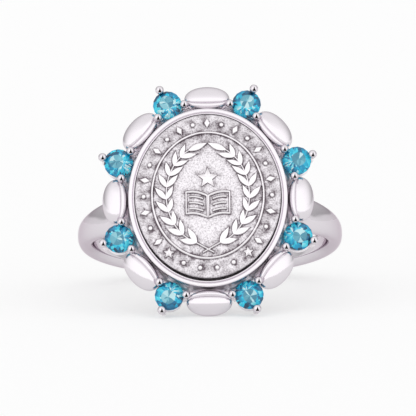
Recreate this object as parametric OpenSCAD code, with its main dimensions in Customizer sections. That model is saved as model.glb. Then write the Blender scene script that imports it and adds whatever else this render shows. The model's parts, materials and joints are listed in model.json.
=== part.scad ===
// Oval class ring: a slim band, an oval bezel with a relief medallion, and a halo of
// eight polished petals and eight round stones. The ring lies on its side, as it rests
// when it is taken off: on the feet of its lowest prongs, its lowest petal and the
// lower edge of the band's back.

/* [Finger hole] */
// Diameter of the finger hole
finger_d = 17.3; // [15:0.1:21]

/* [Band] */
// Width of the band at its back
band_w = 1.85; // [1.5:0.05:2.6]
// Thickness of the band at its back
band_t = 1.25; // [1:0.05:1.8]
// Width of the band where it meets the head
shoulder_w = 3; // [2.7:0.1:4.5]
// Thickness of the band where it meets the head
shoulder_t = 2.4; // [2:0.1:3]

/* [Bezel] */
// Outside width of the oval bezel, across the finger
bezel_w = 11.5; // [10:0.1:13]
// Outside length of the oval bezel, along the finger
bezel_l = 13.26; // [11.5:0.02:15]
// Thickness of the bezel wall
bezel_wall = 0.44; // [0.35:0.01:0.6]
// Height of the rim above the floor's underside
bezel_h = 2.25; // [1.9:0.05:3]
// Thickness of the floor under the medallion
floor_t = 0.6; // [0.4:0.05:0.9]
// Gap between the finger hole and the floor's underside
floor_lift = 1.1; // [0.9:0.05:1.3]
// Bevel along the bezel's lower edge
floor_bevel = 0.25; // [0.1:0.05:0.4]

/* [Medallion] */
// Gap between the medallion and the bezel wall, all round
seat_gap = 0.08; // [0.05:0.01:0.15]
// Gap between the medallion and the bezel floor
seat_lift = 0.03; // [0.02:0.01:0.1]
// Height of the medallion's edge above the rim
edge_rise = 0.2; // [0:0.05:0.3]
// Rise of the medallion's middle above its edge
crown = 0.35; // [0.1:0.05:0.6]
// Height of the relief above its ground
relief_h = 0.15; // [0.08:0.01:0.25]
// Width of the border at the sides, from the edge to the raised oval line
border_side = 1.2; // [1:0.05:1.4]
// Width of the border at the ends
border_end = 1.45; // [1.2:0.05:1.6]
// Width of the raised oval line
line_w = 0.16; // [0.1:0.01:0.3]
// Spaces between the ornaments, from star to star over the top
border_count = 22; // [14:4:26]
// Length of a lozenge, across the border
lozenge_l = 0.72; // [0.4:0.02:0.8]
// Width of a lozenge
lozenge_w = 0.35; // [0.2:0.01:0.5]
// Diameter of a dot
dot_d = 0.3; // [0.2:0.02:0.4]
// Radius of a border star
border_star_r = 0.42; // [0.3:0.02:0.5]

/* [Wreath] */
// Distance from the oval line in to the stems at the sides
wreath_side = 1.03; // [0.9:0.01:1.2]
// Distance from the oval line in to the stems' oval at the ends
wreath_end = 0.96; // [0.9:0.01:1.2]
// Length of a full leaf
leaf_l = 1.25; // [0.8:0.05:1.4]
// Width of a leaf
leaf_w = 0.38; // [0.2:0.02:0.45]
// Width of a stem
stem_w = 0.12; // [0.08:0.01:0.2]

/* [Emblem] */
// Width of the open book
book_w = 3.2; // [2:0.1:3.4]
// Height of the open book
book_l = 1.85; // [1.2:0.05:2]
// Distance of the book below the middle
book_drop = 0.75; // [0.6:0.05:0.9]
// Width of the book's lines
book_line = 0.16; // [0.1:0.01:0.2]
// Radius of the star above the book
star_r = 0.8; // [0.4:0.02:0.9]
// Distance of the star above the middle
star_lift = 1.2; // [1.1:0.05:1.5]

/* [Stones] */
// Diameter of a stone
stone_d = 2.1; // [1.8:0.05:2.2]
// Gap between a stone's edge and the bezel
stone_gap = 0.12; // [0.1:0.01:0.3]
// Height of the stone's edge above the floor's underside
girdle_h = 1.4; // [1.3:0.05:1.6]
// Gap between a stone and the metal of its prongs
setting_gap = 0.03; // [0.02:0.01:0.06]

/* [Petals] */
// Length of a petal
petal_l = 3.2; // [2.6:0.1:3.3]
// Width of a petal
petal_w = 1.4; // [1.1:0.05:1.6]
// Height of a petal
petal_h = 1.2; // [1:0.05:1.4]
// Height of the petals' widest line above the floor's underside
petal_lift = 1.18; // [1:0.02:1.3]

/* [Prongs] */
// Diameter of a prong's round tip
tip_d = 0.62; // [0.5:0.02:0.7]
// Diameter of a prong's wire
wire_d = 0.48; // [0.36:0.02:0.54]
// Height of the middle of a tip above the stone's edge
grip_h = 0.32; // [0.2:0.02:0.4]
// Distance from the stone's edge out to the middle of a tip
tip_out = 0.16; // [0.1:0.01:0.2]
// Lean of a prong, as the distance from its foot out to its tip
prong_splay = 0.16; // [0:0.01:0.25]
// Turn of the two inner prongs from the outer one
inner_turn = 118; // [112:1:124]

/* [Baskets and rail] */
// Height of a basket's ring above the floor's underside
basket_lift = 0.2; // [0.1:0.02:0.3]
// Height of a basket's ring
basket_h = 0.38; // [0.3:0.02:0.5]
// Width of a basket's ring
basket_w = 0.36; // [0.3:0.02:0.5]
// Distance from the stone's edge in to the outside of the ring
basket_in = 0.1; // [0:0.02:0.2]
// Width of the bar from a basket to the bezel
bar_w = 0.5; // [0.3:0.05:0.8]
// Gap between the bezel and the rail that carries the petals
rail_gap = 0.2; // [0.1:0.02:0.3]
// Height of the rail's underside above the floor's underside
rail_lift = 0.35; // [0.25:0.05:0.5]
// Distance that the rail runs in under the petals
rail_lap = 0.15; // [0.12:0.01:0.25]
// Distance from the rail's top up to the petals' widest line
rail_below = 0.25; // [0.15:0.01:0.3]

/* [Hidden] */

// Places round the head, as angles on the bezel's oval: a petal at each side, end and
// corner, and a stone between each two petals.
side_stone = 21.5;
corner_petal = 44;
end_stone = 66;
stone_turns = [for (q = [0, 180]) each [
  q + side_stone, q + end_stone, q + 180 - end_stone, q + 180 - side_stone]];
petal_turns = [for (q = [0, 180]) each [q, q + corner_petal, q + 90, q + 180 - corner_petal]];

// Heights above the finger hole's middle
bore_r = finger_d / 2;
floor_z = bore_r + floor_lift;
seat_z = floor_z + floor_t;
rim_z = floor_z + bezel_h;
girdle_z = floor_z + girdle_h;
petal_z = floor_z + petal_lift;
tip_z = girdle_z + grip_h;
basket_z = floor_z + basket_lift;
foot_z = basket_z + wire_d / 4;

// The halo's middle line lies this far outside the bezel
halo_out = stone_d / 2 + stone_gap;

// A prong's tip and foot, from the middle of its stone
tip_r = stone_d / 2 + tip_out;
foot_r = tip_r - prong_splay;

// How far a piece runs into the one that it is soldered to
solder = 0.1;

// Brilliant cut, as shares of the stone's diameter
table_share = 0.56;
crown_share = 0.15;
girdle_share = 0.03;
pavilion_share = 0.43;

// Steps round the swept shapes
band_steps = 48;
band_points = 12;
oval_steps = 48;
plate_steps = 72;
round_steps = 24;

// A place on the bezel's oval turned by t, moved out by out: [x, y]
function oval(w, l, t, out = 0) =
  let (n = [cos(t) / w, sin(t) / l])
  [cos(t) * w / 2, sin(t) * l / 2] + out * n / norm(n);
function on_head(t, out) = oval(bezel_w, bezel_l, t, out);

// The way that an oval faces at t, as an angle
function faces_to(w, l, t) = atan2(sin(t) / l, cos(t) / w);
function head_turn(t) = faces_to(bezel_w, bezel_l, t);

function ease(u) = let (v = min(max(u, 0), 1)) v * v * (3 - 2 * v);

// Faces of a closed sweep: rings of m points, n rings joined end to end
function loop_faces(n, m) = [
  for (i = [0 : n - 1], j = [0 : m - 1])
    let (a = i * m, b = ((i + 1) % n) * m, k = (j + 1) % m)
    each [[a + j, b + j, b + k], [a + j, b + k, a + k]]
];

module swept(rings) {
  polyhedron([for (r = rings) each r], loop_faces(len(rings), len(rings[0])), convexity = 8);
}

// A profile of [out, up] points carried round an oval at a constant distance
module oval_sweep(w, l, profile, steps) {
  swept([for (i = [0 : steps - 1]) [
    for (p = profile) let (q = oval(w, l, -i * 360 / steps, p[0])) [q[0], q[1], p[1]]
  ]]);
}

// Band: a rounded section that widens and thickens in its shoulders, turned about the
// finger's line, which is Y. It stays under the medallion's seat.
shoulder_start = 40;
shoulder_end = 64;
roundness = 2.4;
bore_cut = 0.06;
function shoulder(t) = ease((90 - abs(90 - t) - shoulder_start) / (shoulder_end - shoulder_start));
function widening(t) = ease((90 - abs(90 - t)) / shoulder_end);
function rounded(v) = sign(v) * pow(abs(v), 2 / roundness);
function band_outer(t) =
  let (r = bore_r + band_t + (shoulder_t - band_t) * shoulder(t))
  sin(t) > 0.5 ? min(r, (seat_z - solder) / sin(t)) : r;
function band_ring(t) =
  let (
    w = band_w + (shoulder_w - band_w) * widening(t),
    inner = bore_r - bore_cut,
    mid = (band_outer(t) + inner) / 2,
    half = (band_outer(t) - inner) / 2
  )
  [for (j = [0 : band_points - 1])
    let (
      a = j * 360 / band_points,
      r = mid + half * rounded(cos(a)),
      y = w / 2 * rounded(sin(a))
    )
    [r * cos(t), y, r * sin(t)]];

module band() {
  swept([for (i = [0 : band_steps - 1]) band_ring(i * 360 / band_steps)]);
}

// Bezel: a wall with a round rim, standing on the edge of a flat oval floor
module bezel() {
  r = bezel_wall / 2;
  inside = -bezel_wall - floor_bevel - solder;
  oval_sweep(bezel_w, bezel_l, concat(
    [[inside, floor_z], [-floor_bevel, floor_z], [0, floor_z + floor_bevel]],
    [for (a = [0 : 36 : 180]) [-r + r * cos(a), rim_z - r + r * sin(a)]],
    [[-bezel_wall, seat_z - solder], [inside, seat_z - 2 * solder]]
  ), oval_steps);
  translate([0, 0, floor_z])
    linear_extrude(floor_t)
      polygon([for (i = [0 : oval_steps - 1])
        oval(bezel_w, bezel_l, i * 360 / oval_steps, -bezel_wall + solder)]);
}

// Rail: an oval wire between the bezel and the petals
module rail() {
  near = rail_gap;
  far = halo_out - petal_w / 2 + rail_lap;
  low = floor_z + rail_lift;
  high = petal_z - rail_below;
  oval_sweep(bezel_w, bezel_l, [[near, low], [far, low], [far, high], [near, high]], oval_steps);
}

// A petal is a pillow, soldered to the rail along its inner side
module petal() {
  scale([petal_w / 2, petal_l / 2, petal_h / 2]) sphere(1, $fn = 48);
}

module prong(turn) {
  lean = atan2(prong_splay, tip_z - foot_z);
  rise = norm([prong_splay, tip_z - foot_z]);
  rotate([0, 0, turn]) {
    translate([foot_r, 0, foot_z]) {
      sphere(d = wire_d, $fn = round_steps);
      rotate([0, lean, 0]) cylinder(h = rise, d = wire_d, $fn = round_steps);
    }
    translate([tip_r, 0, tip_z]) sphere(d = tip_d, $fn = round_steps);
  }
}

// Basket under one stone: a ring, three prongs and a bar to the bezel
module basket() {
  ring_r = stone_d / 2 - basket_in;
  bar_from = -halo_out - bezel_wall / 2;
  translate([0, 0, basket_z])
    rotate_extrude($fn = 2 * round_steps)
      translate([ring_r - basket_w, 0]) square([basket_w, basket_h]);
  for (turn = [0, inner_turn, -inner_turn]) prong(turn);
  translate([bar_from, -bar_w / 2, basket_z])
    cube([basket_w / 2 - ring_r - bar_from, bar_w, basket_h]);
}

// What a stone and the gap round it take from the metal
module seat_cut() {
  r = stone_d / 2 + setting_gap;
  top = stone_d * (girdle_share + crown_share) + 2 * setting_gap;
  rotate_extrude($fn = 2 * round_steps)
    polygon([
      [0, -2 * r * pavilion_share], [r, -setting_gap],
      [r, stone_d * girdle_share + setting_gap], [stone_d * table_share / 2, top], [0, top]
    ]);
}

module at_halo(t, z) {
  p = on_head(t, halo_out);
  translate([p[0], p[1], z]) rotate([0, 0, head_turn(t)]) children();
}

// Round brilliant: 8 sides on the table, then stars, kites and girdle facets, and below
// the girdle 16 lower halves and 8 mains that meet in the point. z 0 is the girdle's foot.
kite_share = 0.8;
lower_share = 0.24;
function ring_of(n, r, z, turn = 0) =
  [for (i = [0 : n - 1]) [r * cos(i * 360 / n + turn), r * sin(i * 360 / n + turn), z]];
module stone_shape() {
  r = stone_d / 2;
  g = stone_d * girdle_share;
  crown_h = stone_d * crown_share;
  point_h = stone_d * pavilion_share;
  kite_h = crown_h * (1 - kite_share * cos(22.5)) / (1 - table_share);
  main_h = point_h * (1 - lower_share * cos(22.5));
  points = concat(
    ring_of(8, r * table_share, g + crown_h),
    ring_of(8, r * kite_share, g + kite_h, 22.5),
    ring_of(16, r, g),
    ring_of(16, r, 0),
    ring_of(8, r * lower_share, -main_h, 22.5),
    [[0, 0, -point_h]]
  );
  hull() polyhedron(points, [[for (i = [0 : len(points) - 1]) i]]);
}

// Medallion: an oval plate under a spherical dome, and a relief of constant height on it
med_w = bezel_w - 2 * bezel_wall - 2 * seat_gap;
med_l = bezel_l - 2 * bezel_wall - 2 * seat_gap;
edge_z = rim_z + edge_rise;
dome_r = (pow(med_w / 2, 2) + crown * crown) / (2 * crown);
loop_w = med_w - 2 * border_side;
loop_l = med_l - 2 * border_end;

function oval_points(w, l, out = 0) =
  [for (i = [0 : plate_steps - 1]) oval(w, l, i * 360 / plate_steps, out)];

// Everything below the dome, raised by up
module under_dome(up) {
  intersection() {
    translate([0, 0, edge_z + crown - dome_r]) sphere(dome_r + up, $fn = 15 * round_steps);
    children();
  }
}

module oval_line() {
  polygon(
    concat(oval_points(loop_w, loop_l, line_w / 2), oval_points(loop_w, loop_l, -line_w / 2)),
    [[for (i = [0 : plate_steps - 1]) i], [for (i = [0 : plate_steps - 1]) plate_steps + i]]
  );
}

// A leaf from the origin along +Y, blunt where it leaves the stem and pointed at its end
leaf_steps = 7;
function leaf_half(u) = stem_w / 4 + (leaf_w / 2 - stem_w / 4) * sin(180 * pow(u, 0.85));
module leaf(l) {
  side = [for (i = [0 : leaf_steps]) let (u = i / leaf_steps) [leaf_half(u) * (1 - pow(u, 6)), l * u]];
  polygon(concat(side, [for (i = [leaf_steps - 1 : -1 : 0]) [-side[i][0], side[i][1]]]));
}

// One branch of the wreath, a row for each pair of leaves: the pair's place on the
// stem's oval counted from the bottom, the splay and the length of its outer leaf, and
// the splay and the length of its inner leaf, with lengths as shares of a full leaf
leaf_pairs = [
  [16, 8, 1, 40, 1],
  [37, 20, 1, 36, 0.9],
  [53, 27, 1, 24, 0.85],
  [70, 32, 0.97, 30, 0.85],
  [85, 38, 0.95, 30, 0.85],
  [99, 37, 0.92, 35, 0.95],
  [112.5, 31, 0.85, 38, 0.95],
  [126, 23, 0.85, 40, 0.85],
  [139, 23, 0.82, 36, 0.95]
];
stem_end = 153;
stem_steps = 16;

// The leaf at the stem's end: its turn from the stem's line, and its share of a full leaf
end_turn = -10;
end_share = 1.12;

// Below the lowest pair each stem runs straight on, across the other one, and ends this
// far past the middle line and below the stems' oval
stem_past = 0.42;
stem_below = 0.56;
wreath_w = loop_w - 2 * wreath_side;
wreath_l = loop_l - 2 * wreath_end;
stem_foot = [stem_past, -wreath_l / 2 - stem_below];
function stem_at(t) = [-sin(t) * wreath_w / 2, -cos(t) * wreath_l / 2];
function stem_turn(t) = atan2(-cos(t) * wreath_w, -sin(t) * wreath_l) + 180;

module branch() {
  for (p = leaf_pairs) translate(stem_at(p[0])) rotate(stem_turn(p[0])) {
    rotate(p[1]) leaf(leaf_l * p[2]);
    rotate(-p[3]) leaf(leaf_l * p[4]);
  }
  translate(stem_at(stem_end)) rotate(stem_turn(stem_end) + end_turn) leaf(leaf_l * end_share);
  stem_start = leaf_pairs[0][0];
  step = (stem_end - stem_start) / stem_steps;
  stem = [for (i = [0 : stem_steps]) stem_start + i * step];
  polygon(concat(
    [[stem_foot[0], stem_foot[1]]],
    [for (t = stem) stem_at(t) * (1 - stem_w / wreath_w)],
    [for (i = [stem_steps : -1 : 0]) stem_at(stem[i]) * (1 + stem_w / wreath_w)]
  ));
}

module star(r) {
  polygon([for (i = [0 : 9])
    let (q = i % 2 == 0 ? r : r * 0.42) [q * sin(i * 36), q * cos(i * 36)]]);
}

// An open book: two pages that bow up from the spine, each with a frame and lines. A
// page's upper edge is the length of the book above its middle at the share u of its width.
page_bow = 0.28;
page_swell = 0.1;
page_steps = 8;
page_share = 0.85;
page_lines = 3;
function page_top(u) = book_l / 2 - page_bow * (1 - u) * (1 - u) + page_swell * sin(u * 180);
module strip(from, to, high, low) {
  polygon(concat(
    [for (i = [0 : page_steps]) let (u = i / page_steps) [from + (to - from) * u, page_top(u) - high]],
    [for (i = [page_steps : -1 : 0]) let (u = i / page_steps) [from + (to - from) * u, page_top(u) - low]]
  ));
}
module book() {
  page_w = book_w / 2;
  page_l = book_l * page_share;
  for (side = [0, 1]) mirror([side, 0]) {
    difference() {
      strip(0, page_w, 0, page_l);
      strip(book_line * 0.7, page_w - book_line, book_line, page_l - book_line);
    }
    for (k = [1 : page_lines])
      translate([0, -page_l * k / (page_lines + 1) + book_line / 4])
        strip(2 * book_line, page_w - 2 * book_line, 0, book_line * 0.7);
  }
}

// Border: small ornaments from star to star over the top, lozenges and dots by turns,
// and a row of dots between the stars at the bottom
star_turn = 38;
low_dots = 4;
border_mid_w = med_w - border_side;
border_mid_l = med_l - border_end;
module at_border(t) {
  translate(oval(border_mid_w, border_mid_l, t))
    rotate(faces_to(border_mid_w, border_mid_l, t) - 90)
      children();
}
module lozenge() {
  x = lozenge_w / 2;
  y = lozenge_l / 2;
  polygon([[x, 0], [0, y], [-x, 0], [0, -y]]);
}
module dot() {
  circle(d = dot_d, $fn = round_steps);
}
module border() {
  step = (360 - 2 * star_turn) / border_count;
  low_step = 2 * star_turn / (low_dots + 1);
  for (side = [-1, 1]) at_border(-90 + side * star_turn) star(border_star_r);
  for (k = [1 : border_count - 1])
    at_border(-90 + star_turn + k * step)
      if (k % 2 == 1) lozenge(); else dot();
  for (k = [1 : low_dots]) at_border(-90 - star_turn + k * low_step) dot();
}

module relief_plan() {
  oval_line();
  branch();
  mirror([1, 0]) branch();
  border();
  translate([0, -book_drop]) book();
  translate([0, star_lift]) star(star_r);
}

// Rest: the ring leans back from its head until a line under its side touches the lowest
// of these circles on the head and the rounded lower edge of the band's back. A circle is
// [place along the finger, height, radius] in the plane down the middle of the head.
low_stone = on_head(-end_stone, halo_out);
low_way = head_turn(-end_stone);
low_foot = [low_stone[1] + foot_r * sin(low_way), foot_z, wire_d / 2];
low_tip = [low_stone[1] + tip_r * sin(low_way), tip_z, tip_d / 2];
low_petal = [on_head(-90, halo_out)[1] - (petal_w - petal_h) / 2, petal_z, petal_h / 2];
edge_r = band_t / 2;
back_edge = [edge_r - band_w / 2, edge_r - bore_r - band_t, edge_r];
function lean_on(c) =
  let (d = c - back_edge)
  atan2(d[1], d[0]) - acos(d[2] / norm([d[0], d[1]]));
lean = max([for (c = [low_foot, low_tip, low_petal]) lean_on(c)]);
function down(c) = c[0] * cos(lean) + c[1] * sin(lean) - c[2];
lowest = down(back_edge);
front_y = low_tip[0] * sin(lean) - low_tip[1] * cos(lean) - low_tip[2];
back_y = -back_edge[0] * sin(lean) - back_edge[1] * cos(lean) + back_edge[2];

// Puts the ring on its side, its head towards -Y, over the middle of its own box
module rest() {
  translate([0, -(front_y + back_y) / 2, -lowest]) rotate([90 - lean, 0, 0]) children();
}

module mounting() {
  color("silver")
  rest()
  difference() {
    union() {
      band();
      bezel();
      rail();
      for (t = petal_turns) at_halo(t, petal_z) petal();
      for (t = stone_turns) at_halo(t, 0) basket();
    }
    rotate([90, 0, 0]) cylinder(h = 4 * shoulder_w, r = bore_r, center = true, $fn = 180);
    for (t = stone_turns) at_halo(t, girdle_z) seat_cut();
  }
}

module medallion() {
  foot = seat_z + seat_lift;
  top = edge_z + crown + relief_h - foot;
  color("gainsboro")
  rest() {
    under_dome(0)
      translate([0, 0, foot]) linear_extrude(top) polygon(oval_points(med_w, med_l));
    under_dome(relief_h)
      translate([0, 0, foot + top / 3]) linear_extrude(top) relief_plan();
  }
}

module stone(i) {
  color("darkturquoise")
  rest()
  at_halo(stone_turns[i - 1], girdle_z) stone_shape();
}

mounting();
medallion();
for (i = [1 : len(stone_turns)])
  stone(i);
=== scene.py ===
import json
from math import atan2, cos, hypot, pi, radians, sin

import bmesh
import bpy
from mathutils import Matrix, Vector


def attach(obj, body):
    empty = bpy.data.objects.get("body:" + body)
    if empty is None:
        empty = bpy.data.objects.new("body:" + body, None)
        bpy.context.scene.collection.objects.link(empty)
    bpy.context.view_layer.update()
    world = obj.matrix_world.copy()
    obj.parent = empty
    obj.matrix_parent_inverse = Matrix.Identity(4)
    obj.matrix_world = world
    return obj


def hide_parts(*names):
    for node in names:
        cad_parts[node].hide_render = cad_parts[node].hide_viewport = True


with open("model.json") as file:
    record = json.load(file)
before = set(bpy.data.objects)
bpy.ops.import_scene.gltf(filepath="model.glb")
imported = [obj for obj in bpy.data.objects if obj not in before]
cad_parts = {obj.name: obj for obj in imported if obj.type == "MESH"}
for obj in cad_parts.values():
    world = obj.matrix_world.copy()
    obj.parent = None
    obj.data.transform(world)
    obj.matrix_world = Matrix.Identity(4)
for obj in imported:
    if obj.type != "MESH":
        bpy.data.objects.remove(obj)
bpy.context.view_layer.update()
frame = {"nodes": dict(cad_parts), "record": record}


# Band: a slim shank of sterling silver, cast with two thicker and wider shoulders that
# carry the head, rhodium plated and buffed to a mirror. Its section is a soft oval, cut
# flat where it lies on the finger.
MM = 0.001
# The record's finger hole says where the ring lies and which way the finger goes
bore = next(mount for mount in frame["record"]["mounts"] if mount["name"] == "finger_bore")
finger_r = bore["dims"]["r_mm"]
finger_way = Vector(bore["axis"]).normalized()
across_way = Vector((1, 0, 0))
lying = (
    Matrix.Translation(Vector(bore["pos_m"]))
    @ Matrix((across_way, finger_way, across_way.cross(finger_way))).transposed().to_4x4()
    @ Matrix.Scale(MM, 4)
)
band_w = 1.85
band_t = 1.25
shoulder_w = 3
shoulder_t = 2.4
shoulder_from = radians(40)
shoulder_to = radians(64)
section_roundness = 2.4
section_points = 56
band_steps = 240
bore_cut = 0.06
seat_z = 10.35
solder = 0.1
# Points nearer than this are one, and edges that turn less look round
weld = 0.0005
crease = radians(35)


def srgb(code):
    """A hex colour as linear red, green, blue and alpha."""
    parts = [int(code[i : i + 2], 16) / 255 for i in (0, 2, 4)]
    return [p / 12.92 if p <= 0.04045 else ((p + 0.055) / 1.055) ** 2.4 for p in parts] + [1]


def add(tree, kind, inputs=None, stops=(), **settings):
    """Adds a node with its settings and a ramp's stops. Its sockets take values or what other
    nodes put out, and a node by itself stands for its first output."""
    node = tree.nodes.new(kind)
    for name, value in settings.items():
        setattr(node, name, value)
    if stops:
        ramp = node.color_ramp.elements
        while len(ramp) < len(stops):
            ramp.new(0.5)
        for stop, (at, colour) in zip(ramp, stops):
            stop.position = at
            stop.color = colour
    for key, value in (inputs or {}).items():
        if isinstance(value, bpy.types.Node):
            value = value.outputs[0]
        if isinstance(value, bpy.types.NodeSocket):
            tree.links.new(value, node.inputs[key])
        else:
            node.inputs[key].default_value = value
    return node


def new_tree(name, **sizes):
    """A tree that takes and gives a mesh, and its inputs. A size is a socket's kind and value."""
    tree = bpy.data.node_groups.new(name, "GeometryNodeTree")
    tree.interface.new_socket("Mesh", in_out="OUTPUT", socket_type="NodeSocketGeometry")
    tree.interface.new_socket("Mesh", in_out="INPUT", socket_type="NodeSocketGeometry")
    for size, (kind, value) in sizes.items():
        socket = tree.interface.new_socket(size, in_out="INPUT", socket_type="NodeSocket" + kind)
        if value is not None:
            socket.default_value = value
    tree.interface.new_socket("metal", in_out="INPUT", socket_type="NodeSocketMaterial")
    return tree, add(tree, "NodeGroupInput").outputs


def end_tree(tree, given, mesh):
    """Joins what meets, keeps sharp edges, and coats the mesh with the metal that is given."""
    joined = add(tree, "GeometryNodeMergeByDistance", {"Geometry": mesh, "Distance": weld})
    angle = add(tree, "GeometryNodeInputMeshEdgeAngle")
    soft = add(tree, "FunctionNodeCompare", {0: angle, 1: crease}, operation="LESS_THAN")
    shaded = add(
        tree, "GeometryNodeSetShadeSmooth",
        {"Geometry": joined, "Shade Smooth": soft}, domain="EDGE",
    )
    real = add(tree, "GeometryNodeRealizeInstances", {0: shaded})
    coated = add(tree, "GeometryNodeSetMaterial", {"Geometry": real, "Material": given["metal"]})
    add(tree, "NodeGroupOutput", {0: coated})


def blank(name, points, edges=None, faces=(), closed=False):
    """A mesh object from points, joined in a row unless edges or faces are given."""
    if edges is None:
        edges = [(i, i + 1) for i in range(len(points) - 1)] + [(len(points) - 1, 0)] * closed
    mesh = bpy.data.meshes.new(name)
    mesh.from_pydata(points, edges, list(faces))
    piece = bpy.data.objects.new(name, mesh)
    bpy.context.scene.collection.objects.link(piece)
    return piece


def grow(body, tree, **sizes):
    """Runs a tree on a piece, with the tree's inputs given by name, and keeps the plain mesh."""
    modifier = body.modifiers.new(tree.name, "NODES")
    modifier.node_group = tree
    for socket in tree.interface.items_tree:
        if socket.in_out == "INPUT" and socket.name in sizes:
            modifier[socket.identifier] = sizes[socket.name]
    bpy.context.view_layer.update()
    graph = bpy.context.evaluated_depsgraph_get()
    mesh = bpy.data.meshes.new_from_object(
        body.evaluated_get(graph), preserve_all_data_layers=True, depsgraph=graph
    )
    body.modifiers.clear()
    body.data = mesh
    form = bmesh.new()
    form.from_mesh(mesh)
    bmesh.ops.recalc_face_normals(form, faces=form.faces)
    form.to_mesh(mesh)
    form.free()
    return body


def seat(piece, node):
    """Lays a finished piece where the ring lies, in place of a node."""
    piece.data.transform(lying)
    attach(piece, "root")
    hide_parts(node)


def new_finish(name):
    """A material, its empty node tree, and the place on the object for its patterns."""
    finish = bpy.data.materials.new(name)
    finish.use_nodes = True
    finish.node_tree.nodes.clear()
    place = add(finish.node_tree, "ShaderNodeTexCoord").outputs["Object"]
    return finish, finish.node_tree, place


# Rhodium-plated sterling silver, cast, tumbled and buffed on a wheel: a bright mirror
# with a faint rosy grey, darker where it is seen edge on, slightly wavy from the hand
# polish, with fine wheel marks.
polished, shader, place = new_finish("polished_rhodium_silver")
# Wheel marks are drawn 0.06 mm apart, because real ones of 0.01 mm wouldn't show
marks = add(shader, "ShaderNodeTexNoise", {"Vector": place, "Scale": 1 / (0.06 * MM), "Detail": 4})
# Hand polish leaves waves about 1.2 mm long
waves = add(shader, "ShaderNodeTexNoise", {"Vector": place, "Scale": 1 / (1.2 * MM), "Detail": 1})
gloss = add(
    shader, "ShaderNodeMapRange",
    {"Value": marks, "From Min": 0.35, "From Max": 0.7, "To Min": 0.05, "To Max": 0.11},
)
wavy = add(shader, "ShaderNodeBump", {"Height": waves, "Strength": 0.25, "Distance": 0.03 * MM})
skin = add(
    shader, "ShaderNodeBsdfPrincipled",
    {
        "Base Color": srgb("DFDADF"), "Metallic": 1.0, "Roughness": gloss,
        "Specular Tint": srgb("DED6DC"), "Normal": wavy,
    },
)
add(shader, "ShaderNodeOutputMaterial", {"Surface": skin})

band_tree, given = new_tree(
    "band_round_the_finger",
    finger_r=("Float", finger_r), inner_r=("Float", finger_r - bore_cut),
    width=("Float", band_w), thick=("Float", band_t),
    shoulder_w=("Float", shoulder_w), shoulder_t=("Float", shoulder_t),
    shoulder_from=("Float", shoulder_from), shoulder_to=("Float", shoulder_to),
    head_floor=("Float", seat_z - solder), steps=("Int", band_steps),
)
# The section is swept round a circle of radius 1, so a point's distance past 1 is its
# share of the band's thickness, and the sizes are given to it afterwards
ring = add(band_tree, "GeometryNodeCurvePrimitiveCircle", {"Resolution": given["steps"], "Radius": 1.0})
section = add(band_tree, "GeometryNodeMeshToCurve", {"Mesh": given["Mesh"]})
swept = add(band_tree, "GeometryNodeCurveToMesh", {"Curve": ring, "Profile Curve": section})
upright = add(band_tree, "GeometryNodeTransform", {"Geometry": swept, "Rotation": (pi / 2, 0, 0)})
spot = add(band_tree, "ShaderNodeSeparateXYZ", {0: add(band_tree, "GeometryNodeInputPosition")})
flat = add(band_tree, "ShaderNodeCombineXYZ", {"X": spot.outputs["X"], "Z": spot.outputs["Z"]})
reach = add(band_tree, "ShaderNodeVectorMath", {0: flat}, operation="LENGTH").outputs["Value"]
way = add(band_tree, "ShaderNodeVectorMath", {0: flat}, operation="NORMALIZE")
height = add(band_tree, "ShaderNodeSeparateXYZ", {0: way}).outputs["Z"]
turn = add(band_tree, "ShaderNodeMath", {0: height}, operation="ARCSINE")
# A Map Range node takes a value in socket 0, from the range in 1 and 2 to the range in 3 and 4
thick = add(
    band_tree, "ShaderNodeMapRange",
    {
        0: turn, 1: given["shoulder_from"], 2: given["shoulder_to"],
        3: given["thick"], 4: given["shoulder_t"],
    },
    interpolation_type="SMOOTHSTEP",
)
wide = add(
    band_tree, "ShaderNodeMapRange",
    {0: turn, 1: 0.0, 2: given["shoulder_to"], 3: given["width"], 4: given["shoulder_w"]},
    interpolation_type="SMOOTHSTEP",
)
outer = add(band_tree, "ShaderNodeMath", {0: given["finger_r"], 1: thick})
# Under the head the shoulders are filed level, and end inside the bezel's floor
steep = add(band_tree, "ShaderNodeMath", {0: height, 1: 0.5}, operation="MAXIMUM")
under = add(band_tree, "ShaderNodeMath", {0: given["head_floor"], 1: steep}, operation="DIVIDE")
outer = add(band_tree, "ShaderNodeMath", {0: outer, 1: under}, operation="MINIMUM")
# The inner face is cut back to the finger's radius, which leaves it flat in its middle
share = add(band_tree, "ShaderNodeMath", {0: reach, 1: 1.0}, operation="SUBTRACT")
depth = add(band_tree, "ShaderNodeMath", {0: outer, 1: given["inner_r"]}, operation="SUBTRACT")
radius = add(
    band_tree, "ShaderNodeMath", {0: share, 1: depth, 2: given["inner_r"]},
    operation="MULTIPLY_ADD",
)
radius = add(band_tree, "ShaderNodeMath", {0: radius, 1: given["finger_r"]}, operation="MAXIMUM")
side = add(band_tree, "ShaderNodeMath", {0: spot.outputs["Y"], 1: wide}, operation="MULTIPLY")
round_way = add(band_tree, "ShaderNodeVectorMath", {0: way, "Scale": radius}, operation="SCALE")
along = add(band_tree, "ShaderNodeCombineXYZ", {"Y": side})
shaped = add(band_tree, "ShaderNodeVectorMath", {0: round_way, 1: along})
sized = add(band_tree, "GeometryNodeSetPosition", {"Geometry": upright, "Position": shaped})
end_tree(band_tree, given, sized)


def rounded(value):
    """A cosine or sine as a rounded square has it."""
    return (1 if value > 0 else -1) * abs(value) ** (2 / section_roundness)


section_turns = [2 * pi * (i + 0.5) / section_points for i in range(section_points)]
band = blank(
    "band", [((1 + rounded(cos(a))) / 2, rounded(sin(a)) / 2, 0) for a in section_turns], closed=True
)
grow(band, band_tree, metal=polished)
seat(band, "mounting")


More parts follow.
